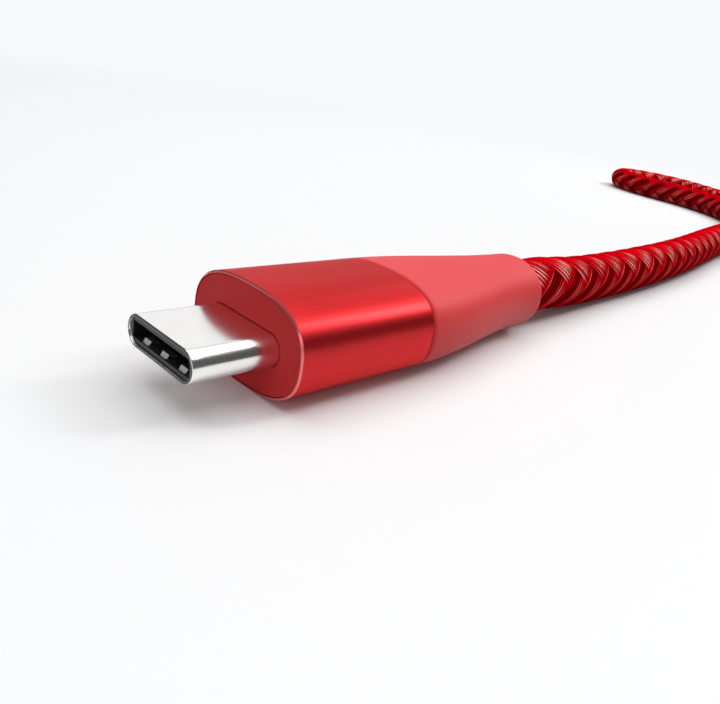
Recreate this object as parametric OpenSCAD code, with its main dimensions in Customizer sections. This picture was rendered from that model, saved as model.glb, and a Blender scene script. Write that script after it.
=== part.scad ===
// Charging cable with a reversible plug at each end, a braided cord and a tie.
// Each connector lies along X with its plug pointing towards -X.

/* [Plug] */
// Width of the plug's steel shell
plug_w = 8.25; // [8.1:0.05:8.4]
// Height of the plug's steel shell
plug_h = 2.4; // [2.35:0.01:2.5]
// Thickness of the shell's sheet
shell_wall = 0.25; // [0.2:0.01:0.28]
// Bevel round the shell's nose
nose_bevel = 0.12; // [0.06:0.01:0.16]
// How far the plug stands out of the body
plug_reach = 6.65; // [6.3:0.05:7.2]
// How far the shell runs on inside the body
plug_root = 2.75; // [2.6:0.05:3]

/* [Plug insides] */
// How far the insulator lies behind the shell's nose
lip_depth = 0.15; // [0.1:0.05:0.3]
// Length of the insulator
insulator_len = 7.05; // [6.95:0.05:7.1]
// Width of the slot that takes the socket's tongue
slot_w = 6.8; // [6.7:0.05:6.85]
// Height of the slot between the contact rows
slot_h = 0.8; // [0.76:0.01:0.84]
// Height of the wider mouth in front of the slot
mouth_h = 1.24; // [1.16:0.02:1.28]
// Number of contacts in a row
contact_count = 12; // [8:1:12]
// Distance between neighbouring contacts
contact_pitch = 0.5; // [0.46:0.01:0.52]
// Width of a contact
contact_w = 0.25; // [0.2:0.01:0.28]
// Thickness of a contact
contact_t = 0.12; // [0.1:0.01:0.14]
// How far a contact's bump stands into the slot
contact_lift = 0.07; // [0.04:0.01:0.1]
// Thickness of the latch's sheet
latch_t = 0.28; // [0.22:0.01:0.3]
// Number of pads on a shield spring
pad_count = 3; // [2:1:3]
// Distance between neighbouring pads
pad_pitch = 2.3; // [2:0.05:2.4]
// Width of a pad
pad_w = 0.8; // [0.6:0.05:0.9]
// Thickness of the shield spring's sheet
spring_t = 0.1; // [0.08:0.01:0.12]

/* [Body] */
// Width of the connector's body
body_w = 13; // [12.8:0.1:14]
// Height of the connector's body
body_h = 7.8; // [7.5:0.1:8.5]
// How square the body's section is, where 2 is an ellipse
body_squareness = 2.6; // [2.5:0.1:3.4]
// Length of the metal sleeve
sleeve_len = 13.6; // [13.2:0.1:15]
// Wall of the metal sleeve
sleeve_wall = 0.8; // [0.6:0.05:0.85]
// Wall of the sleeve where it goes round the face plate
rim_wall = 0.35; // [0.3:0.05:0.6]
// Bevel at the sleeve's front edge
front_bevel = 0.2; // [0.1:0.05:0.25]
// Thickness of the face plate
plate_t = 1.2; // [0.9:0.05:1.3]
// How far the face plate lies behind the sleeve's edge
plate_recess = 0.1; // [0.05:0.05:0.3]

/* [Body insides] */
// Width of the circuit board
board_w = 7.8; // [7:0.1:8.2]
// Thickness of the circuit board
board_t = 0.6; // [0.5:0.05:0.6]
// Distance between the chips in the row of small ones
chip_pitch = 2.4; // [1.6:0.1:2.6]
// Height of the two shield can halves together
can_h = 3.8; // [3.7:0.1:4.1]
// Length of the shield can
can_len = 8.4; // [8:0.1:8.6]
// Thickness of the can's sheet
can_wall = 0.2; // [0.15:0.01:0.25]
// Diameter of the crimp ferrule
ferrule_d = 4.8; // [4.6:0.05:4.9]
// Length of the crimp ferrule
ferrule_len = 4.6; // [4.2:0.1:5]
// Width of a crimped groove round the ferrule
groove_len = 0.5; // [0.3:0.1:0.6]

/* [Strain relief] */
// Length of the strain relief
relief_len = 20; // [17:0.5:26]
// Wall of the strain relief above and below the cord at its end
relief_lip = 0.55; // [0.45:0.05:0.65]
// Wall of the strain relief beside the cord at its end
relief_side = 1.15; // [0.9:0.05:1.7]
// Rounding of the strain relief's cord end
relief_round = 0.35; // [0.2:0.05:0.4]
// Width of the seam between sleeve and strain relief
seam = 0.15; // [0.1:0.05:0.3]

/* [Cord] */
// Diameter of the braided cord
cord_d = 6; // [5.7:0.1:6.1]
// Diameter of the cord where its jacket is stripped
stripped_d = 3.6; // [3.4:0.1:3.8]
// Diameter of a wire's insulation
wire_d = 0.66; // [0.5:0.02:0.7]

/* [Coil] */
// Whole loops in the coil, which a quarter loop follows
coil_loops = 3; // [2:1:6]
// Diameter at the middle of the coil's turns
coil_mean_d = 60; // [58:1:64]
// Gap between neighbouring turns
turn_gap = 0.45; // [0.42:0.01:0.7]

/* [Tie] */
// Width of the tie's strap
tie_w = 10; // [8:0.5:12]
// Thickness of the tie's strap
tie_t = 0.9; // [0.6:0.1:1.2]

/* [Hidden] */

// Clearances and the steps between pieces
fit = 0.03;
loose = 0.05;
board_gap = 0.2;
can_gap = 0.1;
core_gap = 0.25;
jacket_gap = 0.3;
spigot_gap = 0.8;
board_back = 0.5;
latch_gap = 0.25;
tongue_gap = 0.3;
insulator_back = 0.8;
cut = 0.5;

// Stations along a connector, from the plug's nose
shell_len = plug_reach + plug_root;
insulator_end = lip_depth + insulator_len;
mouth_depth = 2.5;
slot_depth = insulator_end - insulator_back;
groove_x = mouth_depth + 0.3;
carrier_x = insulator_end + loose;
carrier_end = shell_len - loose;
latch_root = insulator_end + latch_gap;
latch_base = 0.6;
board_x = latch_root + latch_base + tongue_gap;
plate_x = plug_reach + plate_recess;
plate_end = plate_x + plate_t;
mould_x = plate_end + loose;
can_x = shell_len + can_gap;
can_end = can_x + can_len;
shoulder_x = can_x + can_wall + can_gap;
board_end = can_end - can_wall - board_back;
ferrule_x = can_end + loose;
ferrule_end = ferrule_x + ferrule_len;
core_x = ferrule_x + core_gap;
jacket_x = ferrule_end + jacket_gap;
sleeve_end = plug_reach + sleeve_len;
spigot_x = can_end + spigot_gap;
mould_end = spigot_x - loose;
relief_x = sleeve_end + seam;
relief_end = relief_x + relief_len;

// Sizes across the plug
shell_in_w = plug_w - 2 * shell_wall;
shell_in_h = plug_h - 2 * shell_wall;
insert_w = shell_in_w - 2 * fit;
insert_h = shell_in_h - 2 * fit;
spring_z = shell_in_h / 2 - fit - spring_t / 2;
spring_x = 0.35;
spring_len = 2.9;
spring_w = 5.9;
pad_x = 0.62;
pad_len = 0.5;
pad_z = mouth_h / 2 - 0.12;
groove_w = contact_w + loose;
groove_h = 0.36;
bump_z = slot_h / 2 - contact_lift + contact_t / 2;
root_z = slot_h / 2 + 0.14;
tail_z = board_t / 2 + 0.02 + contact_t / 2;
arm_in = slot_w / 2 + 0.04;
arm_out = arm_in + 0.2;
hook_y = arm_in - 0.32;
hook_x = 2.1;
body_in_w = body_w - 2 * sleeve_wall;
body_in_h = body_h - 2 * sleeve_wall;
rim_in_w = body_w - 2 * rim_wall;
rim_in_h = body_h - 2 * rim_wall;
can_w = board_w + 2 * (can_wall + board_gap);
relief_end_w = cord_d + 2 * loose + 2 * relief_side;
relief_end_h = cord_d + 2 * loose + 2 * relief_lip;

// Places of the connectors, coil and cord
half_len = relief_end / 2;
axis_z = body_h / 2;
cord_r = cord_d / 2;
coil_x = 150;
coil_y = -26;
turn_pitch = cord_d + turn_gap;
coil_turns = coil_loops + 0.25;
whole_angle = 360 * coil_turns;
coil_out_r = coil_mean_d / 2 + turn_pitch * coil_turns / 4;
tie_gap = 0.15;
tie_side_gap = 0.5;
tie_lift = tie_t + tie_gap;
tie_reach = 60;
coil_z = cord_r;
coil_top_z = coil_z + turn_pitch;
tail_y = coil_y - coil_out_r;
far_x = 86;
tie_angle = -45;

// Points around the sections
body_sides = 48;
arc_steps = 8;
coil_steps = 24;
coil_sides = 6;
cord_sides = 8;
wire_sides = 6;

// Route of the cord from the near connector to the coil
route = [
    [34, 0.5, 3.3], [43, 1, 3], [52, 1.3, 3], [63, 2, 3], [74, 3, 3], [85, 4.4, 3],
    [96, 6, 3], [108, 7.6, 3], [120, 9, 3], [132, 10.6, 3], [144, 13.2, 3],
    [155, 17, 3], [164.5, 22, 3], [171.5, 28, 3], [176.5, 35, 3], [179.3, 42.5, 3],
    [180.3, 50, 3], [181.6, 57.5, 3], [184.8, 64.2, 3], [190.4, 68.3, 3],
    [197.2, 68.7, 3], [203, 65.2, 3], [206, 59.2, 3], [205.6, 52.4, 3],
    [202.4, 45.8, 3], [197.8, 39.2, 3], [193.4, 32.4, 3], [189.6, 25, 3],
    [187, 16.8, 3], [185.6, 8, 3], [185.2, -2, 3],
];

// Route of the cord from the coil to the far connector
tail_route = [
    [137, 9.4], [130, 8.3], [124, 6.6], [118, 5], [112, 4.2],
];

// Shapes

function flat(lists) = [for (list = lists) each list];

function mean(a, b, t) = a + (b - a) * t;

function ease(t) = t * t * (3 - 2 * t);

function within(t) = max(0, min(1, t));

function power(v, p) = sign(v) * pow(abs(v), p);

// Section of the body, at x, for a full width and height
function pebble(x, w, h, squareness) = [
    for (i = [0:body_sides - 1])
        let (a = 360 * i / body_sides)
        [x, w / 2 * power(cos(a), 2 / squareness), h / 2 * power(sin(a), 2 / squareness)]
];

// Section of the plug, at x, with round ends
function stadium(x, w, h) = [
    for (end = [0, 1], i = [0:arc_steps])
        let (a = -90 + 180 * end + 180 * i / arc_steps, side = 1 - 2 * end)
        [x, side * (w - h) / 2 + h / 2 * cos(a), h / 2 * sin(a)]
];

// Section of a round tube at point p, square to the direction d
function round_ring(p, d, r, sides) =
    let (
        ahead = d / norm(d),
        side = cross([0, 0, 1], ahead) / norm(cross([0, 0, 1], ahead)),
        rise = cross(ahead, side)
    )
    [
        for (i = [0:sides - 1])
            let (a = 360 * (i + 0.5) / sides)
            p + r * (cos(a) * side + sin(a) * rise)
    ];

// Direction of a route at point i
function heading(line, i) = line[min(i + 1, len(line) - 1)] - line[max(i - 1, 0)];

// Closed solid through a list of sections with the same number of points
module skin(rings) {
    n = len(rings[0]);
    last = (len(rings) - 1) * n;
    sides = [
        for (i = [0:len(rings) - 2], j = [0:n - 1])
            let (a = i * n + j, b = i * n + (j + 1) % n)
            each [[a, a + n, b + n], [a, b + n, b]]
    ];
    start = [for (j = [1:n - 2]) [0, j, j + 1]];
    end = [for (j = [1:n - 2]) [last, last + j + 1, last + j]];
    polyhedron(points = flat(rings), faces = concat(sides, start, end));
}

// Tube that follows a line of points
module tube(line, r, sides) {
    skin([for (i = [0:len(line) - 1]) round_ring(line[i], heading(line, i), r, sides)]);
}

// Turns a drawing in Y and Z into a solid from x0 to x1
module along(x0, x1) {
    translate([x0, 0, 0])
        rotate([90, 0, 90])
            linear_extrude(height = x1 - x0)
                children();
}

// Box from x0 to x1, centred on Y, between two heights
module block(x0, x1, w, z0, z1) {
    translate([x0, -w / 2, z0])
        cube([x1 - x0, w, z1 - z0]);
}

// Straight round rod from x0 to x1
module rod(x0, x1, d) {
    translate([x0, 0, 0])
        rotate([0, 90, 0])
            cylinder(h = x1 - x0, d = d, $fn = 64);
}

// Drawing of a stadium, w wide and h high
module slot_shape(w, h) {
    square([w - h, h], center = true);
    for (side = [-1, 1])
        translate([side * (w - h) / 2, 0])
            circle(d = h, $fn = 48);
}

// Drawing of the body's section
module pebble_shape(w, h) {
    polygon([for (p = pebble(0, w, h, body_squareness)) [p[1], p[2]]]);
}

// Bent strip that follows points in X and Z, w wide
module strip(line, t, w) {
    n = len(line);
    top = [for (p = line) [p[0], p[1] + t / 2]];
    under = [for (i = [1:n]) [line[n - i][0], line[n - i][1] - t / 2]];
    translate([0, w / 2, 0])
        rotate([90, 0, 0])
            linear_extrude(height = w)
                polygon(concat(top, under));
}

// The plug

module plug_shell() {
    color("gainsboro")
        difference() {
            skin([
                stadium(0, plug_w - 2 * nose_bevel, plug_h - 2 * nose_bevel),
                stadium(nose_bevel / 3, plug_w - nose_bevel, plug_h - nose_bevel),
                stadium(nose_bevel, plug_w, plug_h),
                stadium(shell_len, plug_w, plug_h),
            ]);
            along(-cut, shell_len + cut)
                slot_shape(shell_in_w, shell_in_h);
        }
}

module insulator() {
    color("black")
        difference() {
            along(lip_depth, insulator_end)
                slot_shape(insert_w, insert_h);
            block(0, mouth_depth, slot_w + 0.3, -mouth_h / 2, mouth_h / 2);
            block(0, slot_depth, slot_w, -slot_h / 2, slot_h / 2);
            for (face = [0, 1])
                mirror([0, 0, face]) {
                    spring_seat();
                    contact_grooves();
                }
            for (side = [0, 1])
                mirror([0, side, 0])
                    latch_channel();
        }
}

// Space for a shield spring and windows for its pads
module spring_seat() {
    block(spring_x - 0.1, spring_x + spring_len + 0.1, spring_w + 0.1, spring_z - spring_t / 2 - fit, plug_h);
    for (i = [0:pad_count - 1])
        translate([0, (i - (pad_count - 1) / 2) * pad_pitch, 0])
            block(pad_x - 0.35, pad_x + pad_len + 0.35, pad_w + 0.2, 0, plug_h);
}

// Grooves for one row of contacts
module contact_grooves() {
    for (y = contact_places())
        translate([0, y, 0])
            block(groove_x, insulator_end + cut, groove_w, 0.3, slot_h / 2 + groove_h);
}

// Space for one arm of the latch
module latch_channel() {
    translate([hook_x - 1, arm_in - 0.12, -latch_t / 2 - loose])
        cube([insulator_end, arm_out - arm_in + 0.2, latch_t + 2 * loose]);
}

function contact_places() = [
    for (i = [0:contact_count - 1]) (i - (contact_count - 1) / 2) * contact_pitch
];

// One row of contacts, above the slot
module contact_row() {
    line = [
        [groove_x + 0.15, root_z - 0.02], [groove_x + 0.55, bump_z], [groove_x + 0.9, bump_z],
        [slot_depth, root_z], [board_x - 0.35, root_z], [board_x + 0.25, tail_z],
        [carrier_end - loose, tail_z],
    ];
    for (y = contact_places())
        translate([0, y, 0])
            strip(line, contact_t, contact_w);
}

module upper_contacts() {
    color("gold")
        contact_row();
}

module lower_contacts() {
    color("gold")
        mirror([0, 0, 1])
            contact_row();
}

module side_latch() {
    half = [
        [hook_x - 0.6, arm_out], [hook_x - 0.6, hook_y + 0.28], [hook_x, hook_y],
        [hook_x + 0.4, hook_y], [hook_x + 0.9, arm_in], [latch_root, arm_in],
    ];
    other = [for (i = [1:len(half)]) let (p = half[len(half) - i]) [p[0], -p[1]]];
    base = latch_root + latch_base;
    color("silver")
        translate([0, 0, -latch_t / 2])
            linear_extrude(height = latch_t)
                polygon(concat(half, other, [[base, -arm_out], [base, arm_out]]));
}

// Shield spring above the slot, with pads that press on the socket
module shield_spring() {
    rise = 0.25;
    line = [
        [pad_x - rise, spring_z], [pad_x, pad_z], [pad_x + pad_len, pad_z],
        [pad_x + pad_len + rise, spring_z],
    ];
    pads = [for (i = [0:pad_count - 1]) (i - (pad_count - 1) / 2) * pad_pitch];
    difference() {
        block(spring_x, spring_x + spring_len, spring_w, spring_z - spring_t / 2, spring_z + spring_t / 2);
        for (y = pads)
            translate([0, y, 0])
                block(pad_x - 0.1, pad_x + pad_len + 0.1, pad_w, 0, plug_h);
    }
    for (y = pads)
        translate([0, y, 0])
            strip(line, spring_t, pad_w);
}

module upper_spring() {
    color("whitesmoke")
        shield_spring();
}

module lower_spring() {
    color("whitesmoke")
        mirror([0, 0, 1])
            shield_spring();
}

module rear_carrier() {
    color("dimgray")
        difference() {
            along(carrier_x, carrier_end)
                slot_shape(insert_w, insert_h);
            block(0, latch_root + latch_base + loose, 2 * arm_out + 2 * loose, -latch_t / 2 - fit, latch_t / 2 + fit);
            block(board_x - loose, shell_len, 2 * arm_in - 0.1, -board_t / 2 - 0.01, board_t / 2 + 0.01);
            for (face = [0, 1], y = contact_places())
                mirror([0, 0, face])
                    translate([0, y, 0])
                        block(0, shell_len, groove_w, board_t / 2 - 0.01, root_z + contact_t);
        }
}

// The body's insides

module circuit_board() {
    tongue = arm_in - 0.1;
    color("darkgreen")
        translate([0, 0, -board_t / 2])
            linear_extrude(height = board_t)
                polygon([
                    [board_x, -tongue], [shoulder_x, -tongue], [shoulder_x, -board_w / 2],
                    [board_end, -board_w / 2], [board_end, board_w / 2], [shoulder_x, board_w / 2],
                    [shoulder_x, tongue], [board_x, tongue],
                ]);
}

module board_chips() {
    top = board_t / 2 + 0.01;
    color("black") {
        block(12, 14.2, 2.4, top, top + 0.6);
        for (i = [-1, 0, 1])
            translate([0, i * chip_pitch, 0])
                block(10.6, 11.1, 1, top, top + 0.45);
        block(12.4, 13.2, 1.6, -top - 0.5, -top);
    }
}

module wires() {
    top = board_t / 2 + wire_d / 2 + 0.02;
    color("white")
        for (i = [-1.5, -0.5, 0.5, 1.5])
            tube([
                [board_end - 2, 1.7 * i, top], [board_end - 0.9, 1.7 * i, top],
                [board_end + 0.3, 1.1 * i, top], [core_x - 0.02, 0.86 * i, top],
            ], wire_d / 2, wire_sides);
}

// Upper half of the shield can, open below
module can_half() {
    difference() {
        block(can_x, can_end, can_w, fit / 2, can_h / 2);
        block(can_x + can_wall, can_end - can_wall, can_w - 2 * can_wall, -cut, can_h / 2 - can_wall);
        block(can_x - cut, can_x + 2 * can_wall, 2 * arm_in, -cut, 0.75);
        rod(can_end - 2 * can_wall, can_end + cut, stripped_d + 2 * loose);
    }
}

module upper_can() {
    color("silver")
        can_half();
}

module lower_can() {
    color("silver")
        mirror([0, 0, 1])
            can_half();
}

module crimp_ferrule() {
    color("darkgoldenrod")
        difference() {
            rod(ferrule_x, ferrule_end, ferrule_d);
            rod(0, relief_end, stripped_d + 2 * loose);
            for (share = [0.25, 0.65])
                let (x = ferrule_x + share * ferrule_len)
                difference() {
                    rod(x, x + groove_len, ferrule_d + 1);
                    rod(0, relief_end, ferrule_d - 0.3);
                }
        }
}

module inner_mould() {
    color("ivory")
        difference() {
            along(mould_x, mould_end)
                pebble_shape(body_in_w - 2 * loose, body_in_h - 2 * loose);
            along(0, can_x)
                slot_shape(plug_w + 2 * loose, plug_h + 2 * loose);
            block(can_x - loose, can_end + loose, can_w + 2 * loose, -can_h / 2 - loose, can_h / 2 + loose);
            rod(0, relief_end, ferrule_d + 2 * loose);
        }
}

// The body

module face_plate() {
    color("firebrick")
        difference() {
            along(plate_x, plate_end)
                pebble_shape(rim_in_w - 2 * fit, rim_in_h - 2 * fit);
            along(0, relief_end)
                slot_shape(plug_w + 2 * fit, plug_h + 2 * fit);
        }
}

module metal_sleeve() {
    w = body_w;
    h = body_h;
    b = 2 * front_bevel;
    color("crimson")
        difference() {
            skin([
                pebble(plug_reach, w - b, h - b, body_squareness),
                pebble(plug_reach + front_bevel / 3, w - b / 2, h - b / 2, body_squareness),
                pebble(plug_reach + front_bevel, w, h, body_squareness),
                pebble(sleeve_end - seam, w, h, body_squareness),
                pebble(sleeve_end, w - 2 * seam, h - 2 * seam, body_squareness),
            ]);
            along(0, relief_end)
                pebble_shape(body_in_w, body_in_h);
            along(0, plate_end + fit)
                pebble_shape(rim_in_w, rim_in_h);
        }
}

// Section of the strain relief at share t of its length, drawn in by inset
function relief_ring(x, inset) =
    let (
        t = within((x - relief_x) / relief_len),
        s = ease(within((t - 0.05) / 0.9))
    )
    pebble(
        x,
        mean(body_w, relief_end_w, s) - 2 * inset,
        mean(body_h, relief_end_h, s) - 2 * inset,
        mean(body_squareness, 2.1, t)
    );

module strain_relief() {
    steps = 14;
    x0 = relief_x + seam;
    x1 = relief_end - relief_round;
    color("indianred")
        difference() {
            union() {
                skin(concat(
                    [relief_ring(relief_x, seam)],
                    [for (i = [0:steps]) relief_ring(mean(x0, x1, i / steps), 0)],
                    [
                        for (a = [30, 60, 90])
                            relief_ring(x1 + relief_round * sin(a), relief_round * (1 - cos(a)))
                    ]
                ));
                along(spigot_x, relief_x + seam)
                    pebble_shape(body_in_w - 2 * loose, body_in_h - 2 * loose);
            }
            rod(0, jacket_x, ferrule_d + 2 * loose);
            rod(jacket_x - loose, relief_end + cut, cord_d + 2 * loose);
        }
}

module cord_end() {
    color("crimson") {
        rod(core_x, jacket_x, stripped_d);
        rod(jacket_x, relief_end, cord_d);
    }
}

// The cord

// How far the tie under the turns lifts the coil, at angle a
function lift(a) =
    let (turned = abs((a + tie_angle + 540) % 360 - 180))
    tie_lift * ease(within(1 - turned / tie_reach));

// Point on the coil after an angle a, which grows from the cord's entry
function coil_point(a) =
    let (
        in = min(a, whole_angle - a) / 360,
        r = coil_out_r - turn_pitch * in,
        climb = ease(within((a - whole_angle / 2) / 180 + 0.5))
    )
    [
        coil_x + r * cos(-a),
        coil_y + r * sin(-a),
        mean(coil_z, coil_top_z, climb) + lift(a),
    ];

coil_start = coil_point(0) + [0, cord_d, 0];
coil_end = coil_point(whole_angle) - [cord_d, 0, 0];
coil_line = concat(
    [coil_start],
    [for (i = [0:coil_turns * coil_steps]) coil_point(360 * i / coil_steps)],
    [coil_end]
);

// Least gap between turns, measured between points at least half a loop apart
coil_gap = min([
    for (i = [0:len(coil_line) - 1], j = [i + coil_steps / 2:len(coil_line) - 1])
        norm(coil_line[i] - coil_line[j]) - cord_d
]);
echo(least_gap_in_coil = coil_gap);

cord_line = concat(
    [[half_len, 0, axis_z], [half_len + cord_d, 0, axis_z]],
    route,
    [coil_start + [0, cord_d, 0], coil_start]
);

tail_line = concat(
    [coil_end],
    [for (p = tail_route) [p[0], tail_y, p[1]]],
    [[far_x + half_len, tail_y, axis_z]]
);

// Rings that follow a line, with square ends across the two given directions
module cord_tube(line, first, last, sides) {
    n = len(line) - 1;
    skin([
        for (i = [0:n])
            let (d = i == 0 ? first : i == n ? last : heading(line, i))
            round_ring(line[i], d, cord_r, sides)
    ]);
}

module cord_run() {
    color("crimson")
        cord_tube(cord_line, [1, 0, 0], [0, -1, 0], cord_sides);
}

module cord_coil() {
    color("firebrick")
        cord_tube(coil_line, [0, -1, 0], [-1, 0, 0], coil_sides);
}

module cord_tail() {
    color("crimson")
        cord_tube(tail_line, [-1, 0, 0], [-1, 0, 0], cord_sides);
}

// Drawing of the bundle of turns, grown all round
module bundle_shape(grow) {
    side = turn_pitch + cord_d + 2 * tie_side_gap;
    tall = turn_pitch + cord_d + 2 * tie_gap;
    corner = 2;
    for (x = [-1, 1], z = [-1, 1])
        translate([x * (side / 2 - corner), z * (tall / 2 - corner)])
            circle(r = corner + grow, $fn = 32);
    square([side - 2 * corner, tall + 2 * grow], center = true);
    square([side + 2 * grow, tall - 2 * corner], center = true);
}

module cable_tie() {
    mid_r = coil_out_r - turn_pitch * (0.5 - tie_angle / 360);
    mid_z = tie_lift + (coil_z + coil_top_z) / 2;
    lap_r = (turn_pitch + cord_d) / 2 + tie_side_gap + tie_t;
    color("dimgray")
        translate([coil_x, coil_y, mid_z])
            rotate([0, 0, tie_angle])
                translate([mid_r, 0, 0])
                    rotate([90, 0, 0])
                        translate([0, 0, -tie_w / 2])
                            linear_extrude(height = tie_w) {
                                difference() {
                                    bundle_shape(tie_t);
                                    bundle_shape(0);
                                }
                                translate([lap_r, -cord_r])
                                    square([tie_t, turn_pitch]);
                            }
}

// Placing

module near() {
    translate([-half_len, 0, axis_z])
        children();
}

module far() {
    translate([far_x - half_len, tail_y, axis_z])
        children();
}

near() plug_shell();  // near_plug_shell
near() insulator();  // near_insulator
near() upper_contacts();  // near_upper_contacts
near() lower_contacts();  // near_lower_contacts
near() side_latch();  // near_side_latch
near() upper_spring();  // near_upper_spring
near() lower_spring();  // near_lower_spring
near() rear_carrier();  // near_rear_carrier
near() circuit_board();  // near_circuit_board
near() board_chips();  // near_board_chips
near() wires();  // near_wires
near() upper_can();  // near_upper_can
near() lower_can();  // near_lower_can
near() crimp_ferrule();  // near_crimp_ferrule
near() inner_mould();  // near_inner_mould
near() face_plate();  // near_face_plate
near() metal_sleeve();  // near_metal_sleeve
near() strain_relief();  // near_strain_relief
near() cord_end();  // near_cord_end
cord_run();
cord_coil();
cord_tail();
cable_tie();
far() plug_shell();  // far_plug_shell
far() insulator();  // far_insulator
far() upper_contacts();  // far_upper_contacts
far() lower_contacts();  // far_lower_contacts
far() side_latch();  // far_side_latch
far() upper_spring();  // far_upper_spring
far() lower_spring();  // far_lower_spring
far() rear_carrier();  // far_rear_carrier
far() circuit_board();  // far_circuit_board
far() board_chips();  // far_board_chips
far() wires();  // far_wires
far() upper_can();  // far_upper_can
far() lower_can();  // far_lower_can
far() crimp_ferrule();  // far_crimp_ferrule
far() inner_mould();  // far_inner_mould
far() face_plate();  // far_face_plate
far() metal_sleeve();  // far_metal_sleeve
far() strain_relief();  // far_strain_relief
far() cord_end();  // far_cord_end
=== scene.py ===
import math

import bpy
import numpy as np
from mathutils import Matrix, Vector


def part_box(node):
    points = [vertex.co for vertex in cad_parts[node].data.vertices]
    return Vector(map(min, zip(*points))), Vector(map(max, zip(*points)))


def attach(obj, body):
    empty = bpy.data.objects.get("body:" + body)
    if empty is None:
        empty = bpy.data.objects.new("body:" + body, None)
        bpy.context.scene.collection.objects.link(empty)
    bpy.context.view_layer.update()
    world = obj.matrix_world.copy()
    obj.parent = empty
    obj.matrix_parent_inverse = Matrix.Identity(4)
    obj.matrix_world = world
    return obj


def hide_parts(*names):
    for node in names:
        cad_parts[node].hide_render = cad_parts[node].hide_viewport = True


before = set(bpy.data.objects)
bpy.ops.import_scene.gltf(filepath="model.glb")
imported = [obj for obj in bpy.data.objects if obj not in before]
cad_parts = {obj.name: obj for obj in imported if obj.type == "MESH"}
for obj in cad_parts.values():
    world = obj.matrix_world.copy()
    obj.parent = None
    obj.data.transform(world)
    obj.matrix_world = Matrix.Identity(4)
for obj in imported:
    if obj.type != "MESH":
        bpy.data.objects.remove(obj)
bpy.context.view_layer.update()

mm = 0.001
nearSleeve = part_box("near_metal_sleeve")
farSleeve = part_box("far_metal_sleeve")
farShift = farSleeve[0] - nearSleeve[0]
sides = {"near": Vector((0, 0, 0)), "far": farShift}


# Camera, lights and world

def makeCamera():
    shot = {
        "place": (-41.4, -36.0, 22.65), "turn": 41.64, "tilt": 22.46, "lean": 10.58,
        "lens": 34.15, "sensor": 36, "nearest": 1 * mm, "farthest": 10,
    }
    turn, tilt, lean = (math.radians(shot[key]) for key in ("turn", "tilt", "lean"))
    ahead = Vector((math.cos(turn) * math.cos(tilt), math.sin(turn) * math.cos(tilt), -math.sin(tilt)))
    right = ahead.cross(Vector((0, 0, 1))).normalized()
    up = right.cross(ahead)
    across = math.cos(lean) * right + math.sin(lean) * up
    top = math.cos(lean) * up - math.sin(lean) * right
    camera = bpy.data.objects.new("camera", bpy.data.cameras.new("camera"))
    bpy.context.scene.collection.objects.link(camera)
    place = Matrix.Translation(Vector(shot["place"]) * mm)
    camera.matrix_world = place @ Matrix((across, top, -ahead)).transposed().to_4x4()
    camera.data.sensor_width = shot["sensor"]
    camera.data.lens = shot["lens"]
    camera.data.clip_start = shot["nearest"]
    camera.data.clip_end = shot["farthest"]
    bpy.context.scene.camera = camera


def areaLight(name, place, aim, size, power):
    lamp = bpy.data.lights.new(name, "AREA")
    lamp.shape = "RECTANGLE"
    lamp.size = size[0] * mm
    lamp.size_y = size[1] * mm
    lamp.energy = power
    holder = bpy.data.objects.new(name, lamp)
    bpy.context.scene.collection.objects.link(holder)
    holder.location = Vector(place) * mm
    holder.rotation_euler = (Vector(aim) - Vector(place)).to_track_quat("-Z", "Y").to_euler()


def makeLights():
    middle = (30, 5, 4)
    # each panel's place, size and watts
    panels = {
        "overheadPanel": ((60, 0, 900), (1200, 1200), 7.4),
        "highPanel": ((590, 50, 411), (620, 200), 0.48),
        "stripPanel": ((526, -176, 459), (110, 260), 1.15),
        "frontPanel": ((-740, -210, 240), (620, 420), 1.0),
    }
    for name, (place, size, power) in panels.items():
        areaLight(name, place, middle, size, power)


paleWall = (0.935, 0.942, 0.955)


def makeWorld():
    shade = {
        "lit": (0.22, 0.22, 0.22), "bright": 1.0, "dim": 0.08,
        "towards": (0.50, 0.76, 0.415), "edge": 0.84, "full": 1.0,
    }
    world = bpy.data.worlds.new("studio")
    bpy.context.scene.world = world
    world.use_nodes = True
    tree = world.node_tree
    tree.nodes.clear()
    path = tree.nodes.new("ShaderNodeLightPath")
    out = tree.nodes.new("ShaderNodeOutputWorld")

    def background(colour):
        node = tree.nodes.new("ShaderNodeBackground")
        if isinstance(colour, tuple):
            node.inputs["Color"].default_value = (*colour, 1)
        else:
            tree.links.new(colour, node.inputs["Color"])
        return node.outputs[0]

    def mixed(factor, first, second):
        node = tree.nodes.new("ShaderNodeMixShader")
        tree.links.new(factor, node.inputs[0])
        tree.links.new(first, node.inputs[1])
        tree.links.new(second, node.inputs[2])
        return node.outputs[0]

    # glossy and transmission rays meet a wall that is white behind the set and dim all round
    place = tree.nodes.new("ShaderNodeTexCoord")
    facing = tree.nodes.new("ShaderNodeVectorMath")
    facing.operation = "DOT_PRODUCT"
    tree.links.new(place.outputs["Generated"], facing.inputs[0])
    facing.inputs[1].default_value = shade["towards"]
    wall = tree.nodes.new("ShaderNodeMapRange")
    wall.interpolation_type = "SMOOTHSTEP"
    tree.links.new(facing.outputs["Value"], wall.inputs["Value"])
    for key, value in {"From Min": "edge", "From Max": "full", "To Min": "dim", "To Max": "bright"}.items():
        wall.inputs[key].default_value = shade[value]
    shiny = tree.nodes.new("ShaderNodeMath")
    shiny.operation = "MAXIMUM"
    tree.links.new(path.outputs["Is Glossy Ray"], shiny.inputs[0])
    tree.links.new(path.outputs["Is Transmission Ray"], shiny.inputs[1])
    mirrored = mixed(shiny.outputs[0], background(shade["lit"]), background(wall.outputs[0]))
    seen = mixed(path.outputs["Is Camera Ray"], mirrored, background(paleWall))
    tree.links.new(seen, out.inputs[0])


# Materials

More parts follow.
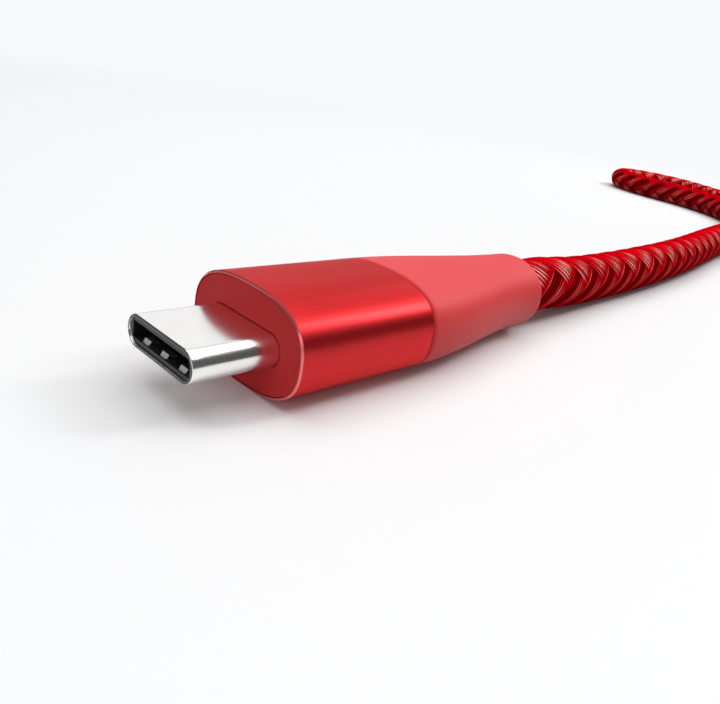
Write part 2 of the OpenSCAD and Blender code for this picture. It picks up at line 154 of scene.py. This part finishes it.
class Graph:
    def __init__(self, name):
        self.material = bpy.data.materials.new(name)
        self.material.use_nodes = True
        self.tree = self.material.node_tree
        self.shader = self.tree.nodes["Principled BSDF"]

    def put(self, socket, value):
        if isinstance(value, bpy.types.NodeSocket):
            self.tree.links.new(value, socket)
        elif isinstance(value, tuple) and len(value) == 3 and socket.type == "RGBA":
            socket.default_value = (*value, 1)
        else:
            socket.default_value = value

    def add(self, kind, inputs, **settings):
        node = self.tree.nodes.new(kind)
        for key, value in settings.items():
            setattr(node, key, value)
        for key, value in inputs.items():
            self.put(node.inputs[key], value)
        return node

    def calc(self, operation, *values):
        return self.add("ShaderNodeMath", dict(enumerate(values)), operation=operation).outputs[0]

    def place(self):
        return self.add("ShaderNodeTexCoord", {}).outputs["Object"]

    def stretched(self, scale):
        return self.add("ShaderNodeMapping", {"Vector": self.place(), "Scale": scale}).outputs[0]

    def noise(self, scale, detail=3.0, rough=0.6, vector=None):
        inputs = {"Scale": scale, "Detail": detail, "Roughness": rough, "Vector": vector or self.place()}
        return self.add("ShaderNodeTexNoise", inputs).outputs["Fac"]

    def spread(self, value, low, high):
        inputs = {"Value": value, "To Min": low, "To Max": high}
        return self.add("ShaderNodeMapRange", inputs).outputs[0]

    def ramp(self, value, stops):
        node = self.add("ShaderNodeValToRGB", {"Fac": value})
        elements = node.color_ramp.elements
        while len(elements) < len(stops):
            elements.new(0.5)
        for element, (position, colour) in zip(elements, stops):
            element.position = position
            element.color = (*colour, 1)
        return node.outputs["Color"]

    def blend(self, factor, first, second):
        node = self.add("ShaderNodeMix", {0: factor}, data_type="RGBA")
        colours = [socket for socket in node.inputs if socket.type == "RGBA"]
        self.put(colours[0], first)
        self.put(colours[1], second)
        return [socket for socket in node.outputs if socket.type == "RGBA"][0]

    def bump(self, height, distance, strength=1.0):
        inputs = {"Height": height, "Distance": distance, "Strength": strength}
        return self.add("ShaderNodeBump", inputs).outputs[0]

    def finish(self, **inputs):
        names = {
            "colour": "Base Color", "metal": "Metallic", "rough": "Roughness", "normal": "Normal",
            "coat": "Coat Weight", "coatRough": "Coat Roughness", "sheen": "Sheen Weight",
            "gloss": "Specular IOR Level", "tint": "Specular Tint",
        }
        for key, value in inputs.items():
            self.put(self.shader.inputs[names[key]], value)
        return self.material


def steelSkin():
    g = Graph("polishedSteel")
    drawn = g.noise(3000, 4, 0.6, g.stretched((0.06, 1, 1)))
    smudge = g.noise(350, 2)
    return g.finish(
        colour=g.ramp(smudge, [(0.3, (0.87, 0.86, 0.85)), (0.7, (0.92, 0.91, 0.90))]),
        metal=1.0,
        rough=g.spread(drawn, 0.16, 0.24),
        normal=g.bump(drawn, 0.0015 * mm),
    )


def springSteel():
    g = Graph("springSteel")
    grain = g.noise(5000, 3)
    return g.finish(
        colour=g.ramp(grain, [(0.3, (0.90, 0.90, 0.89)), (0.7, (0.97, 0.97, 0.96))]),
        metal=0.25,
        rough=g.spread(grain, 0.4, 0.5),
        normal=g.bump(grain, 0.002 * mm),
    )


def padSteel():
    # painted light and shade: bright on the faces that look towards the plug's mouth, and painted dark on
    # the others, as if in shade
    g = Graph("padSteel")
    grain = g.noise(5000, 3)
    faces = g.add("ShaderNodeSeparateXYZ", {0: g.add("ShaderNodeNewGeometry", {}).outputs["Normal"]})
    front = g.calc("MULTIPLY", faces.outputs[0], -1.0)
    return g.finish(
        colour=g.ramp(front, [(0.35, (0.07, 0.07, 0.07)), (0.75, (0.95, 0.95, 0.94))]),
        metal=0.25,
        rough=g.spread(grain, 0.4, 0.5),
        normal=g.bump(grain, 0.002 * mm),
    )


def cutSteel():
    g = Graph("cutSteel")
    grain = g.noise(7000, 3)
    return g.finish(colour=(0.12, 0.115, 0.115), metal=1.0, rough=g.spread(grain, 0.3, 0.45))


def redAnodised():
    g = Graph("redAnodised")
    blast = g.noise(9000, 3, 0.7)
    cloud = g.noise(120, 3)
    return g.finish(
        colour=g.ramp(cloud, [(0.3, (0.58, 0.018, 0.022)), (0.7, (0.64, 0.024, 0.028))]),
        metal=1.0,
        rough=g.spread(blast, 0.37, 0.47),
        normal=g.bump(blast, 0.004 * mm, 0.5),
        tint=(1.0, 0.12, 0.12),
        coat=0.3,
        coatRough=0.3,
    )


def cutEdge():
    g = Graph("brightRedEdge")
    turned = g.noise(6000, 2)
    return g.finish(colour=(0.92, 0.20, 0.20), metal=0.7, rough=g.spread(turned, 0.16, 0.26))


def darkRedPlastic():
    g = Graph("darkRedPlastic")
    grain = g.noise(7000, 4, 0.7)
    return g.finish(
        colour=g.ramp(grain, [(0.3, (0.62, 0.028, 0.032)), (0.7, (0.68, 0.033, 0.037))]),
        rough=g.spread(grain, 0.5, 0.62),
        normal=g.bump(grain, 0.005 * mm, 0.6),
        gloss=0.2,
    )


def softRed():
    g = Graph("softTouchRed")
    grain = g.noise(8000, 4, 0.7)
    cloud = g.noise(160, 3)
    return g.finish(
        colour=g.ramp(cloud, [(0.3, (0.84, 0.060, 0.066)), (0.7, (0.88, 0.068, 0.074))]),
        rough=g.spread(grain, 0.46, 0.56),
        normal=g.bump(grain, 0.004 * mm, 0.5),
        gloss=0.28,
    )


def blackPlastic():
    g = Graph("blackPlastic")
    grain = g.noise(6000, 3)
    return g.finish(
        colour=g.ramp(grain, [(0.3, (0.010, 0.010, 0.011)), (0.7, (0.022, 0.022, 0.024))]),
        rough=g.spread(grain, 0.35, 0.5),
        normal=g.bump(grain, 0.003 * mm),
    )


def goldPlate():
    g = Graph("goldPlate")
    grain = g.noise(9000, 2)
    return g.finish(colour=(0.85, 0.58, 0.22), metal=1.0, rough=g.spread(grain, 0.18, 0.3))


def boardGreen():
    g = Graph("boardGreen")
    tracks = g.noise(1600, 1, 0.3, g.stretched((1, 0.25, 1)))
    return g.finish(
        colour=g.ramp(tracks, [(0.47, (0.010, 0.10, 0.035)), (0.53, (0.02, 0.17, 0.06))]),
        rough=0.35,
        coat=0.4,
    )


def paleMould():
    g = Graph("paleMould")
    grain = g.noise(4000, 3)
    return g.finish(colour=(0.72, 0.68, 0.58), rough=g.spread(grain, 0.5, 0.65))


def wireWhite():
    g = Graph("wireWhite")
    grain = g.noise(3000, 2)
    return g.finish(colour=(0.75, 0.75, 0.73), rough=g.spread(grain, 0.35, 0.5))


def tieCloth():
    g = Graph("tieCloth")
    loops = g.noise(6000, 5, 0.8)
    return g.finish(
        colour=g.ramp(loops, [(0.35, (0.010, 0.010, 0.011)), (0.75, (0.05, 0.05, 0.055))]),
        rough=0.9,
        normal=g.bump(loops, 0.12 * mm),
        sheen=0.6,
    )


# The braid: its weave, shared by the mesh and its material

braid = {
    "strands": 4, "yarns": 7, "lead": 20.4 * mm, "phase": 0.151,
    "dome": 0.2 * mm, "crossing": 0.45, "yarnHeight": 0.16 * mm, "fuzz": 0.25,
    # the dark middle and edge set where the painted shade lies across each rising strand
    "paintedShadeMiddle": 0.28, "paintedShadeEdge": (0.14, 0.3), "lot": (0.62, 0.5),
    # the glint colour and width shape a painted highlight on the yarns' ridges
    "paintedGlint": (1.0, 0.47, 0.43), "glintWidth": 4.0,
    "fallingBend": 2.8, "risingBend": 0.6, "risingShare": 0.45,
}


def braidHeight(turn, length):
    right = braid["strands"] * (turn + length / braid["lead"])
    left = braid["strands"] * (turn - length / braid["lead"])
    step = np.mod(np.floor(right) + np.floor(left), 4)
    over = step < 2
    across = np.where(over, right, left) % 1
    along = np.where(over, step + left % 1, step - 2 + right % 1) / 2
    crown = np.sqrt(np.clip(1 - (2 * across - 1) ** 2, 0, 1))
    return crown * (braid["crossing"] + (1 - braid["crossing"]) * np.sin(math.pi * along))


def braidRed():
    g = Graph("braidedNylon")
    uv = g.add("ShaderNodeSeparateXYZ", {0: g.add("ShaderNodeUVMap", {}, uv_map="braid").outputs[0]})
    turn, leads = uv.outputs[0], uv.outputs[1]
    right = g.calc("MULTIPLY", g.calc("ADD", turn, leads), float(braid["strands"]))
    left = g.calc("MULTIPLY", g.calc("SUBTRACT", turn, leads), float(braid["strands"]))
    rightIn, leftIn = g.calc("FRACT", right), g.calc("FRACT", left)
    rightNo, leftNo = g.calc("FLOOR", right), g.calc("FLOOR", left)
    step = g.calc("FLOORED_MODULO", g.calc("ADD", rightNo, leftNo), 4.0)
    over = g.calc("LESS_THAN", step, 1.5)
    under = g.calc("SUBTRACT", 1.0, over)

    def choose(first, second):
        return g.calc("ADD", g.calc("MULTIPLY", first, over), g.calc("MULTIPLY", second, under))

    across = choose(rightIn, leftIn)
    apart = 40.5  # keeps the two ways' strand numbers apart
    strand = choose(rightNo, g.calc("ADD", leftNo, apart))
    along = choose(g.calc("ADD", step, leftIn), g.calc("SUBTRACT", g.calc("ADD", step, rightIn), 2.0))
    rise = g.calc("SINE", g.calc("MULTIPLY", along, math.pi / 2))
    spread = g.calc("MULTIPLY", across, float(braid["yarns"]))
    yarnNo = g.calc("FLOOR", spread)
    yarn = g.calc("SINE", g.calc("MULTIPLY", g.calc("FRACT", spread), math.pi))
    key = g.add("ShaderNodeCombineXYZ", {0: strand, 1: yarnNo, 2: 0.0}).outputs[0]
    lot = g.add("ShaderNodeTexWhiteNoise", {"Vector": key}, noise_dimensions="3D").outputs["Value"]
    fuzz = g.noise(7000, 3)
    # painted shade: one side of each strand that rises to the right is painted darker, as where it faces
    # away from the light
    side = g.calc("ABSOLUTE", g.calc("SUBTRACT", across, braid["paintedShadeMiddle"]))
    darkFrom, darkTo = braid["paintedShadeEdge"]
    edge = {"Value": side, "From Min": darkFrom, "From Max": darkTo}
    plain = g.add("ShaderNodeMapRange", edge).outputs[0]
    # painted shade: the colour darkens in the grooves between the yarns and towards each float's ends,
    # where it dives under the crossing strands
    yarnShade, riseShade = g.calc("MULTIPLY_ADD", yarn, 0.75, 0.25), g.calc("MULTIPLY_ADD", rise, 0.3, 0.7)
    shade = g.calc("MULTIPLY", yarnShade, riseShade)
    paintedShadeRed = g.ramp(shade, [(0.2, (0.02, 0.0, 0.001)), (0.6, (0.12, 0.0, 0.002)), (0.9, (0.34, 0.0, 0.005))])
    bright = g.ramp(shade, [(0.2, (0.09, 0.0, 0.001)), (0.5, (0.60, 0.0, 0.004)), (0.8, (1.0, 0.0, 0.012))])
    least, more = braid["lot"]
    red = g.calc("MULTIPLY", g.calc("MAXIMUM", plain, under), g.calc("MULTIPLY_ADD", lot, more, least))
    colour = g.blend(red, paintedShadeRed, bright)

    def bend(power):
        turned = g.calc("POWER", g.calc("MULTIPLY", along, 0.5), power)
        return g.calc("POWER", g.calc("SINE", g.calc("MULTIPLY", turned, math.pi)), braid["glintWidth"])

    # painted highlight: the yarns' ridges are painted pale pink where a strand turns down, as if catching
    # the light, less on the strands that rise
    falling = g.calc("MULTIPLY", bend(braid["fallingBend"]), under)
    rising = g.calc("MULTIPLY", g.calc("MULTIPLY", bend(braid["risingBend"]), plain), braid["risingShare"])
    caught = g.calc("ADD", falling, g.calc("MULTIPLY", rising, over))
    ridge = g.calc("MULTIPLY", g.calc("POWER", yarn, braid["glintWidth"]), g.spread(fuzz, 0.2, 3.2))
    paintedGlint = g.calc("MULTIPLY", caught, g.calc("MULTIPLY", ridge, lot))
    return g.finish(
        colour=g.blend(paintedGlint, colour, braid["paintedGlint"]),
        metal=0.3,
        rough=g.spread(lot, 0.3, 0.42),
        normal=g.bump(g.calc("MULTIPLY_ADD", fuzz, braid["fuzz"], yarn), braid["yarnHeight"]),
        gloss=0.0,
        tint=(1.0, 0.1, 0.1),
    )


# Shapes

ringPoints = 200
outlinePoints = 640


def addMesh(name, points, faces, material, smoothAngle, uvs=None, secondMaterial=None, secondFaces=None):
    mesh = bpy.data.meshes.new(name)
    mesh.from_pydata(points, [], faces)
    mesh.materials.append(material)
    if secondMaterial:
        mesh.materials.append(secondMaterial)
        mesh.polygons.foreach_set("material_index", np.asarray(secondFaces, np.int32))
    if uvs is not None:
        layer = mesh.uv_layers.new(name="braid")
        layer.data.foreach_set("uv", np.asarray(uvs, np.float32).ravel())
    mesh.polygons.foreach_set("use_smooth", [True] * len(mesh.polygons))
    if smoothAngle:
        mesh.set_sharp_from_angle(angle=math.radians(smoothAngle))
    mesh.update()
    piece = bpy.data.objects.new(name, mesh)
    bpy.context.scene.collection.objects.link(piece)
    return piece


def loftFaces(ringCount, ringSize, looped=False):
    last = ringCount if looped else ringCount - 1
    i, j = np.meshgrid(np.arange(last), np.arange(ringSize), indexing="ij")
    after, beside = (i + 1) % ringCount, (j + 1) % ringSize
    here, onward = i * ringSize, after * ringSize
    quads = np.stack([here + j, here + beside, onward + beside, onward + j], -1)
    return quads.reshape(-1, 4)


def loft(name, rings, material, smoothAngle, **more):
    rings = np.asarray(rings)
    faces = loftFaces(len(rings), rings.shape[1], looped=True)
    return addMesh(name, rings.reshape(-1, 3).tolist(), faces.tolist(), material, smoothAngle, **more)


def ease(t):
    t = min(1, max(0, t))
    return t * t * (3 - 2 * t)


def evenly(ring):
    closed = np.vstack([ring, ring[:1]])
    run = np.concatenate([[0], np.cumsum(np.linalg.norm(np.diff(closed, axis=0), axis=1))])
    want = np.linspace(0, run[-1], ringPoints, endpoint=False)
    return np.stack([np.interp(want, run, closed[:, k]) for k in range(3)], 1)


def pebble(x, width, height, square):
    angle = np.linspace(0, 2 * math.pi, outlinePoints, endpoint=False)
    c, s = np.cos(angle), np.sin(angle)
    y = width / 2 * np.sign(c) * np.abs(c) ** (2 / square)
    z = height / 2 * np.sign(s) * np.abs(s) ** (2 / square)
    return evenly(np.stack([np.full(outlinePoints, x), y, z], 1))


def stadium(x, width, height):
    perArc = 24
    half = np.linspace(-90, 90, perArc + 1)
    angle = np.radians(np.concatenate([half, half + 180]))
    side = np.repeat([1, -1], perArc + 1) * (width - height) / 2
    y = side + height / 2 * np.cos(angle)
    return np.stack([np.full(len(angle), x), y, height / 2 * np.sin(angle)], 1)


# The connector

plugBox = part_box("near_plug_shell")
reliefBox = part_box("near_strain_relief")
axis = Vector((0, 0, (plugBox[0].z + plugBox[1].z) / 2))
plug = {
    "nose": plugBox[0].x, "root": plugBox[1].x,
    "width": plugBox[1].y - plugBox[0].y, "height": plugBox[1].z - plugBox[0].z,
}
body = {
    "front": nearSleeve[0].x, "back": nearSleeve[1].x,
    "width": nearSleeve[1].y - nearSleeve[0].y, "height": nearSleeve[1].z - nearSleeve[0].z,
    "square": 2.6,
}


def bodyRing(x, inset):
    return pebble(x, body["width"] - 2 * inset, body["height"] - 2 * inset, body["square"])


def plugShell(steel, cut):
    edge = {
        "wall": 0.25 * mm, "bevel": 0.12 * mm, "bevelIn": 0.11988 * mm, "bevelSteps": 6,
        "inner": 0.05 * mm, "bands": 12, "cutBands": 3, "flat": 50,
    }
    nose, root, width, height = plug["nose"], plug["root"], plug["width"], plug["height"]
    rounded = []
    for turn in np.radians(np.linspace(0, 90, edge["bevelSteps"])):
        less = 2 * edge["bevelIn"] * (1 - math.sin(turn))
        behind = edge["bevel"] * (1 - math.cos(turn))
        rounded.append(stadium(nose + behind, width - less, height - less))
    outer = [stadium(x, width, height) for x in np.linspace(nose + edge["bevel"], root, edge["bands"])]
    gap = 2 * edge["wall"]
    inner = [stadium(x, width - gap, height - gap) for x in (root, nose + edge["inner"])]
    mouth = [stadium(nose, width - gap + edge["inner"], height - gap + edge["inner"])]
    rings = mouth + rounded + outer[1:] + inner
    count = len(rings[0])
    front = np.zeros(len(rings) * count, int)
    front[:edge["cutBands"] * count] = 1
    return loft("plugShell", rings, steel, edge["flat"], secondMaterial=cut, secondFaces=front)


def sleeveMesh(anodised, edge):
    size = {
        "bevel": 0.12 * mm, "rim": 0.17 * mm, "wall": 0.8 * mm, "seat": 1.3 * mm, "back": 0.15 * mm,
        "plainFrom": 0.4 * mm, "plainTo": 0.3 * mm, "bands": 12, "edgeBands": (3, 5), "flat": 30,
    }
    front, back = body["front"], body["back"]
    plain = np.linspace(front + size["plainFrom"], back - size["plainTo"], size["bands"])
    outline = [
        (back, size["wall"]), (front + size["seat"], size["wall"]),
        (front + size["seat"], size["rim"]), (front, size["rim"]),
        (front, size["bevel"]), (front + size["bevel"], 0),
        *[(x, 0) for x in plain],
        (back - size["back"], 0), (back, size["back"]),
    ]
    rings = [bodyRing(x, inset) for x, inset in outline]
    count = len(rings[0])
    bright = np.zeros(len(rings) * count, int)
    first, last = size["edgeBands"]
    bright[first * count:last * count] = 1
    return loft("metalSleeve", rings, anodised, size["flat"], secondMaterial=edge, secondFaces=bright)


def reliefMesh(soft):
    size = {
        "round": 0.4 * mm, "seam": 0.15 * mm, "endWidth": 8.4 * mm, "endHeight": 7.2 * mm, "endSquare": 2.1,
        "straight": 0.05, "bore": 6.04 * mm, "boreDeep": 6 * mm, "boreLip": 1 * mm,
        "mouth": 2 * mm, "wall": 1 * mm, "plainFrom": 0.4 * mm, "bands": 60, "flat": 60,
    }
    start, end = body["back"] + size["seam"], reliefBox[1].x
    length = end - start

    def ring(x, inset):
        share = min(1, max(0, (x - start) / length))
        taper = ease((share - size["straight"]) / (1 - 2 * size["straight"]))
        width = body["width"] + (size["endWidth"] - body["width"]) * taper
        height = body["height"] + (size["endHeight"] - body["height"]) * taper
        square = body["square"] + (size["endSquare"] - body["square"]) * share
        return pebble(x, width - 2 * inset, height - 2 * inset, square)

    def bore(x):
        return pebble(x, size["bore"], size["bore"], 2)

    rings = [bore(end - size["boreDeep"]), bore(start + size["mouth"])]
    rings += [ring(start, size["wall"]), ring(start, size["seam"])]
    rings += [ring(start + size["seam"] * s, size["seam"] * (1 - s)) for s in (0.5, 1)]
    plain = np.linspace(start + size["plainFrom"], end - size["round"], size["bands"])
    rings += [ring(x, 0) for x in plain]
    for turn in np.radians((15, 30, 45, 60, 75, 90)):
        rings.append(ring(end - size["round"] * (1 - math.sin(turn)), size["round"] * (1 - math.cos(turn))))
    rings += [bore(end), bore(end - size["boreLip"])]
    return loft("strainRelief", rings, soft, size["flat"])


def plateMesh(plastic):
    size = {
        "rim": 0.2 * mm, "recess": 0.03 * mm, "thick": 1.2 * mm, "gap": 0.06 * mm, "corner": 0.06 * mm,
        "flat": 30,
    }
    front = body["front"] + size["recess"]
    back = front + size["thick"]
    corner = size["corner"]

    def outer(x, inset):
        return bodyRing(x, size["rim"] + inset)

    def hole(x, grow):
        more = size["gap"] + 2 * grow
        ring = stadium(x, plug["width"] + more, plug["height"] + more)
        # starts beside the outer ring's first point, at the middle of the +Y side
        ring = np.roll(ring, -int(np.argmin(np.abs(ring[:, 2]) + (ring[:, 1] < 0))), axis=0)
        return evenly(ring)

    rings = [outer(back, 0), outer(front + corner, 0), outer(front, corner)]
    rings += [hole(front, corner), hole(front + corner, 0), hole(back, 0)]
    return loft("facePlate", rings, plastic, size["flat"])


def putConnectors(look):
    shapes = {
        "plug_shell": plugShell(look["steel"], look["cut"]),
        "metal_sleeve": sleeveMesh(look["anodised"], look["edge"]),
        "strain_relief": reliefMesh(look["soft"]),
        "face_plate": plateMesh(look["plate"]),
    }
    made = {"near": [], "far": []}
    for node, shape in shapes.items():
        for side, shift in sides.items():
            piece = bpy.data.objects.new(f"{side}.{shape.name}", shape.data)
            bpy.context.scene.collection.objects.link(piece)
            piece.location = axis + shift
            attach(piece, "root")
            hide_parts(f"{side}_{node}")
            made[side].append(piece)
        bpy.data.objects.remove(shape)
    looks = {
        "insulator": "black", "rear_carrier": "black", "upper_contacts": "gold", "lower_contacts": "gold",
        "side_latch": "spring", "upper_spring": "pad", "lower_spring": "pad", "upper_can": "spring",
        "lower_can": "spring", "circuit_board": "board", "board_chips": "black", "wires": "wire",
        "crimp_ferrule": "gold", "inner_mould": "mould", "cord_end": "mould",
    }
    for side in sides:
        for node, name in looks.items():
            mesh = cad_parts[f"{side}_{node}"].data
            mesh.materials.clear()
            mesh.materials.append(look[name])
            made[side].append(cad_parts[f"{side}_{node}"])
    return made


# The cord

reliefEnd = Vector((reliefBox[1].x, 0, axis.z))
cord = {"diameter": 6 * mm, "turnGap": 0.45 * mm}
coil = {
    "middle": Vector((150, -26, 0)) * mm, "loops": 3.25, "meanDiameter": 60 * mm, "steps": 24,
    "tieLift": 1.05 * mm, "tieAngle": -45, "tieReach": 60,
}
coil["pitch"] = cord["diameter"] + cord["turnGap"]
coil["outer"] = coil["meanDiameter"] / 2 + coil["pitch"] * coil["loops"] / 4
splitAt = 13  # the point of the run, from its exit on, where the second stretch starts
# the same points as in the part's source
route = [
    (34, 0.5, 3.3), (43, 1, 3), (52, 1.3, 3), (63, 2, 3), (74, 3, 3), (85, 4.4, 3),
    (96, 6, 3), (108, 7.6, 3), (120, 9, 3), (132, 10.6, 3), (144, 13.2, 3),
    (155, 17, 3), (164.5, 22, 3), (171.5, 28, 3), (176.5, 35, 3), (179.3, 42.5, 3),
    (180.3, 50, 3), (181.6, 57.5, 3), (184.8, 64.2, 3), (190.4, 68.3, 3),
    (197.2, 68.7, 3), (203, 65.2, 3), (206, 59.2, 3), (205.6, 52.4, 3),
    (202.4, 45.8, 3), (197.8, 39.2, 3), (193.4, 32.4, 3), (189.6, 25, 3),
    (187, 16.8, 3), (185.6, 8, 3), (185.2, -2, 3),
]
tailRoute = [(137, 9.4), (130, 8.3), (124, 6.6), (118, 5), (112, 4.2)]


def coilPoint(angle):
    whole = coil["loops"] * 360
    radius = coil["outer"] - coil["pitch"] * min(angle, whole - angle) / 360
    climb = ease((angle - whole / 2) / 180 + 0.5)
    turned = abs((angle + coil["tieAngle"] + 540) % 360 - 180)
    lift = coil["tieLift"] * ease(1 - turned / coil["tieReach"])
    rise = cord["diameter"] / 2 + coil["pitch"] * climb + lift
    clockwise = math.radians(-angle)
    return coil["middle"] + Vector((radius * math.cos(clockwise), radius * math.sin(clockwise), rise))


def smoothLine(points, step):
    perSpan = 24
    p = np.array([tuple(q) for q in points])
    p = np.vstack([2 * p[0] - p[1], p, 2 * p[-1] - p[-2]])
    fine = []
    for a, b, c, d in zip(p, p[1:], p[2:], p[3:]):
        square, cube = 2 * a - 5 * b + 4 * c - d, 3 * b - a - 3 * c + d
        for t in np.linspace(0, 1, perSpan, endpoint=False):
            fine.append(0.5 * (2 * b + (c - a) * t + square * t**2 + cube * t**3))
    fine = np.vstack([fine, p[-2]])
    run = np.concatenate([[0], np.cumsum(np.linalg.norm(np.diff(fine, axis=0), axis=1))])
    want = np.linspace(0, run[-1], max(2, int(round(run[-1] / step)) + 1))
    return np.stack([np.interp(want, run, fine[:, k]) for k in range(3)], 1), want


def braidTube(name, line, run, material, around):
    heading = np.gradient(line, axis=0)
    heading /= np.linalg.norm(heading, axis=1, keepdims=True)
    side = np.cross([0, 0, 1], heading)
    side /= np.linalg.norm(side, axis=1, keepdims=True)
    rise = np.cross(heading, side)
    turn = np.arange(around) / around
    lift = braidHeight(turn[None, :] + braid["phase"], run[:, None])
    radius = cord["diameter"] / 2 - braid["dome"] + braid["dome"] * lift
    angle = 2 * math.pi * turn
    ring = np.cos(angle)[None, :, None] * side[:, None, :] + np.sin(angle)[None, :, None] * rise[:, None, :]
    points = line[:, None, :] + radius[..., None] * ring
    faces = loftFaces(len(line), around)
    corner = np.stack([faces % around, faces // around], -1).astype(float)
    # faces that close the ring end at a whole turn instead of at none
    wrap = (corner[:, :, 0].max(1) - corner[:, :, 0].min(1)) > 1
    corner[..., 0] += (wrap[:, None] & (corner[..., 0] == 0)) * around
    u = corner[..., 0] / around + braid["phase"]
    v = np.interp(corner[..., 1], np.arange(len(run)), run) / braid["lead"]
    uvs = np.stack([u, v], -1)
    return addMesh(name, points.reshape(-1, 3).tolist(), faces.tolist(), material, None, uvs=uvs)


def putCord(red):
    alongX, alongY = Vector((cord["diameter"], 0, 0)), Vector((0, cord["diameter"], 0))
    coilStart = coilPoint(0) + alongY
    run = [reliefEnd, reliefEnd + alongX] + [Vector(p) * mm for p in route]
    run += [coilStart + alongY, coilStart]
    count = int(coil["loops"] * coil["steps"])
    turns = [coilStart] + [coilPoint(360 * i / coil["steps"]) for i in range(count + 1)]
    coilEnd = turns[-1] - alongX
    turns.append(coilEnd)
    tail = [coilEnd] + [Vector((x, coilEnd.y / mm, z)) * mm for x, z in tailRoute]
    tail.append(reliefEnd + farShift)
    step = {"run": 0.16 * mm, "coil": 0.36 * mm, "tail": 0.3 * mm}
    whole, wholeRun = smoothLine(run, step["run"])
    split = int(np.argmin(np.linalg.norm(whole - np.array(run[splitAt]), axis=1)))
    # each stretch's line and lengths, points around, points to step over, and node
    stretches = {
        "nearStretch": (whole[:split + 1], wholeRun[:split + 1], 144, 1, "cord_run"),
        "farStretch": (whole[split:], wholeRun[split:], 96, 2, "cord_run"),
        "coil": (*smoothLine(turns, step["coil"]), 64, 1, "cord_coil"),
        "tail": (*smoothLine(tail, step["tail"]), 72, 1, "cord_tail"),
    }
    for name, (line, run, around, stride, node) in stretches.items():
        piece = braidTube(name, line[::stride], run[::stride], red, around)
        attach(piece, "root")
        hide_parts(node)


# The floor

def makeFloor():
    ground = {
        "pale": (0.96, 0.965, 0.975), "rough": 0.6, "halfWidth": 3.0, "flat": 40,
        "bounce": [(0.018, (0.36, 0.36, 0.364)), (0.045, (0.10, 0.10, 0.102))],
        "middle": (0.09, 0.0, 0.0), "fadeFrom": 0.13, "fadeTo": 0.36,
    }
    g = Graph("paleFloor")
    path = g.add("ShaderNodeLightPath", {}).outputs
    # pale to camera, glossy and transmission rays, and darker for all other light that it throws back
    far = g.add("ShaderNodeVectorMath", {0: g.place()}, operation="LENGTH").outputs["Value"]
    bounce = g.ramp(far, ground["bounce"])
    shown = g.calc("MAXIMUM", path["Is Camera Ray"], path["Is Transmission Ray"])
    shown = g.calc("MAXIMUM", shown, path["Is Glossy Ray"])
    g.finish(colour=g.blend(shown, bounce, ground["pale"]), rough=ground["rough"])
    # far off, the camera sees it run into the wall
    reach = g.add("ShaderNodeVectorMath", {0: g.place(), 1: ground["middle"]}, operation="DISTANCE")
    inputs = {"Value": reach.outputs["Value"], "From Min": ground["fadeFrom"], "From Max": ground["fadeTo"]}
    fade = g.add("ShaderNodeMapRange", inputs, interpolation_type="SMOOTHSTEP").outputs[0]
    glow = g.add("ShaderNodeEmission", {"Color": paleWall})
    seen = g.calc("MULTIPLY", fade, path["Is Camera Ray"])
    mix = g.add("ShaderNodeMixShader", {0: seen, 1: g.shader.outputs[0], 2: glow.outputs[0]})
    g.put(g.tree.nodes["Material Output"].inputs[0], mix.outputs[0])
    wide = ground["halfWidth"]
    corners = [(-wide, -wide, 0), (wide, -wide, 0), (wide, wide, 0), (-wide, wide, 0)]
    floor = addMesh("floor", corners, [(0, 1, 2, 3)], g.material, ground["flat"])


bpy.context.scene.view_settings.view_transform = "Standard"
makeCamera()
makeLights()
makeWorld()
makeFloor()
print("camera, lights and floor are set")
look = {
    "steel": steelSkin(), "cut": cutSteel(), "spring": springSteel(), "pad": padSteel(),
    "anodised": redAnodised(), "edge": cutEdge(), "plate": darkRedPlastic(), "soft": softRed(),
    "black": blackPlastic(), "gold": goldPlate(), "board": boardGreen(), "mould": paleMould(),
    "wire": wireWhite(), "tie": tieCloth(),
}
connectors = putConnectors(look)
print("connectors are in place")
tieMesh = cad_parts["cable_tie"].data
tieMesh.materials.clear()
tieMesh.materials.append(look["tie"])
putCord(braidRed())
print("the cord is laid")
